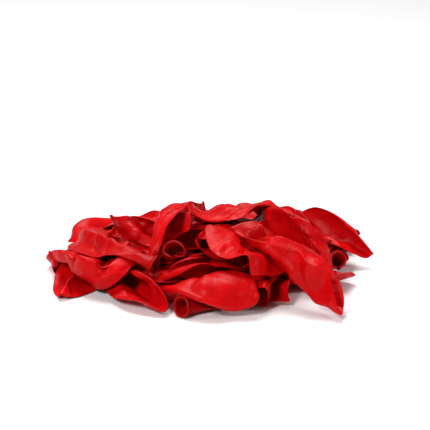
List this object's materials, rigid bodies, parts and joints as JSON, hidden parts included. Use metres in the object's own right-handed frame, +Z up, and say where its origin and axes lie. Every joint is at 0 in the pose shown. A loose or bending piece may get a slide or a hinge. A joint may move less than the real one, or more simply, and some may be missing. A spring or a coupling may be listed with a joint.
{
  "type": "latex balloon heap",
  "caption": "Loose heap of uninflated round latex balloons with rolled lips, each folded or crumpled its own way, lying on a table.",
  "frame": {"origin": "on the table, at the centre of the heap's bounding box", "axes": "+X to the right along the heap's longest side, +Y to its back, +Z up; the heap is seen from -Y"},
  "size_m": [0.2402, 0.205, 0.0524],
  "materials": {
    "latex": "satin, slightly powdery, with soft highlights along folds and lips"
  },
  "bodies": {
    "root": {"core_front": "latex", "core_middle": "latex", "back_mouth": "latex", "left_mouth": "latex", "right_back_mouth": "latex", "front_mouth": "latex", "right_low_leaf": "latex", "right_ring": "latex", "back_left_leaf": "latex", "left_far": "latex", "left_facet": "latex", "under_leaf": "latex", "back_right_leaf": "latex", "mid_flat": "latex", "front_dome": "latex", "left_twist": "latex", "left_crown": "latex", "mid_long": "latex", "right_back_leaf": "latex", "dark_layer": "latex", "small_neck": "latex", "right_far": "latex", "back_top_left": "latex", "left_dome": "latex", "left_tent": "latex", "left_ring_body": "latex", "rear_left_layer": "latex", "back_top_right": "latex", "flat_tube": "latex", "mid_mouth": "latex", "cave_arch": "latex", "right_diamond": "latex", "top_loop": "latex", "tall_fold": "latex"},
    "diagonal_fold": {"diagonal_fold": "latex"},
    "creased_panel": {"creased_panel": "latex"},
    "upper_leaf": {"upper_leaf": "latex"},
    "top_crumple": {"top_crumple": "latex"},
    "right_leaf": {"right_leaf": "latex"}
  },
  "joints": [
    {"name": "diagonal_fold_lift", "type": "slide", "parent": "root", "child": "diagonal_fold", "axis": [0, 0, 1], "range_m": [0, 0.12]},
    {"name": "creased_panel_lift", "type": "slide", "parent": "diagonal_fold", "child": "creased_panel", "axis": [0, 0, 1], "range_m": [0, 0.12]},
    {"name": "upper_leaf_lift", "type": "slide", "parent": "creased_panel", "child": "upper_leaf", "axis": [0, 0, 1], "range_m": [0, 0.12]},
    {"name": "top_crumple_lift", "type": "slide", "parent": "upper_leaf", "child": "top_crumple", "axis": [0, 0, 1], "range_m": [0, 0.12]},
    {"name": "right_leaf_lift", "type": "slide", "parent": "upper_leaf", "child": "right_leaf", "axis": [0, 0, 1], "range_m": [0, 0.12]}
  ]
}
